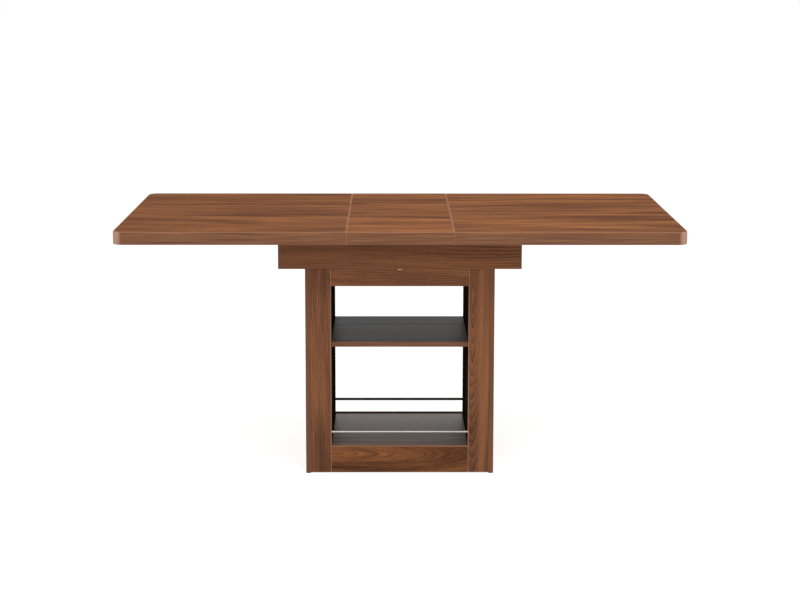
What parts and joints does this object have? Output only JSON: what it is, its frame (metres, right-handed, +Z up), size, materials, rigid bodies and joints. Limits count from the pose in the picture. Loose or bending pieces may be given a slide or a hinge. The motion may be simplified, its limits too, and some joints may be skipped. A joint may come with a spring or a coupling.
{
  "type": "extending kitchen table with storage cabinet",
  "caption": "Extending kitchen table with sliding top halves, a folding leaf and an open storage cabinet with shelves and guard rods.",
  "frame": {"origin": "on the floor under the middle of the top, drawn out", "axes": "+X along the top to the right, -Y is the front, +Z up"},
  "size_m": [1.6, 0.8, 0.75],
  "materials": {
    "walnut_board": "walnut grain decor, satin",
    "walnut_edging": "walnut grain edging, satin",
    "black_board": "black-brown decor, satin",
    "raw_board": "plain board, matte",
    "beech": "planed, matte",
    "chrome_rod": "polished",
    "zinc_steel": "bright zinc plate",
    "bearing_steel": "polished",
    "hinge_brass": "satin",
    "felt": "felt",
    "glide_plastic": "moulded"
  },
  "bodies": {
    "cabinet": {"left_side_panel": "walnut_board", "right_side_panel": "walnut_board", "front_top_rail": "walnut_board", "rear_top_rail": "walnut_board", "front_plinth": "walnut_board", "rear_plinth": "walnut_board", "front_apron": "walnut_board", "rear_apron": "walnut_board", "left_end_apron": "walnut_board", "right_end_apron": "walnut_board", "front_left_stile": "walnut_board", "front_right_stile": "walnut_board", "rear_left_stile": "walnut_board", "rear_right_stile": "walnut_board", "middle_shelf_edging": "walnut_edging", "left_inner_panel": "black_board", "right_inner_panel": "black_board", "bottom_shelf": "black_board", "middle_shelf": "black_board", "well_floor": "raw_board", "bottom_shelf_cleats": "raw_board", "rail_dowels": "beech", "front_guard_rod": "chrome_rod", "rear_guard_rod": "chrome_rod", "front_left_slide_channel": "zinc_steel", "front_right_slide_channel": "zinc_steel", "rear_left_slide_channel": "zinc_steel", "rear_right_slide_channel": "zinc_steel", "box_brackets": "zinc_steel", "shelf_pins": "zinc_steel", "apron_tie_plate": "zinc_steel", "leaf_pads": "felt", "foot_glides": "glide_plastic"},
    "left_half": {"left_top_board": "walnut_board", "left_top_rim": "raw_board", "left_top_edging": "walnut_edging", "front_left_bearer": "beech", "rear_left_bearer": "beech", "front_left_runner": "zinc_steel", "rear_left_runner": "zinc_steel"},
    "right_half": {"right_top_board": "walnut_board", "right_top_rim": "raw_board", "right_top_edging": "walnut_edging", "front_right_bearer": "beech", "rear_right_bearer": "beech", "front_right_runner": "zinc_steel", "rear_right_runner": "zinc_steel"},
    "left_cages": {"left_ball_cages": "zinc_steel", "left_slide_balls": "bearing_steel"},
    "right_cages": {"right_ball_cages": "zinc_steel", "right_slide_balls": "bearing_steel"},
    "leaf_rear": {"leaf_rear_board": "walnut_board", "leaf_rear_rim": "raw_board", "leaf_rear_edging": "walnut_edging", "leaf_rear_hinges": "hinge_brass"},
    "leaf_front": {"leaf_front_board": "walnut_board", "leaf_front_rim": "raw_board", "leaf_front_edging": "walnut_edging", "leaf_front_hinges": "hinge_brass"}
  },
  "joints": [
    {"name": "left_half_slide", "type": "slide", "parent": "cabinet", "child": "left_half", "axis": [-1, 0, 0], "range_m": [0, 0.025]},
    {"name": "right_half_slide", "type": "slide", "parent": "cabinet", "child": "right_half", "axis": [1, 0, 0], "range_m": [0, 0.025]},
    {"name": "left_cage_slide", "type": "slide", "parent": "cabinet", "child": "left_cages", "axis": [-1, 0, 0], "range_m": [0, 0.0125]},
    {"name": "right_cage_slide", "type": "slide", "parent": "cabinet", "child": "right_cages", "axis": [1, 0, 0], "range_m": [0, 0.0125]},
    {"name": "leaf_lift", "type": "slide", "parent": "cabinet", "child": "leaf_rear", "axis": [0, 0, 1], "range_m": [0, 0.12]},
    {"name": "leaf_fold", "type": "hinge", "parent": "leaf_rear", "child": "leaf_front", "pos_m": [0, 0, 0.7503], "axis": [-1, 0, 0], "range_deg": [0, 180]}
  ],
  "couplings": [
    {"joint": "left_cage_slide", "follows": "left_half_slide", "ratio": 0.5},
    {"joint": "right_cage_slide", "follows": "right_half_slide", "ratio": 0.5}
  ]
}
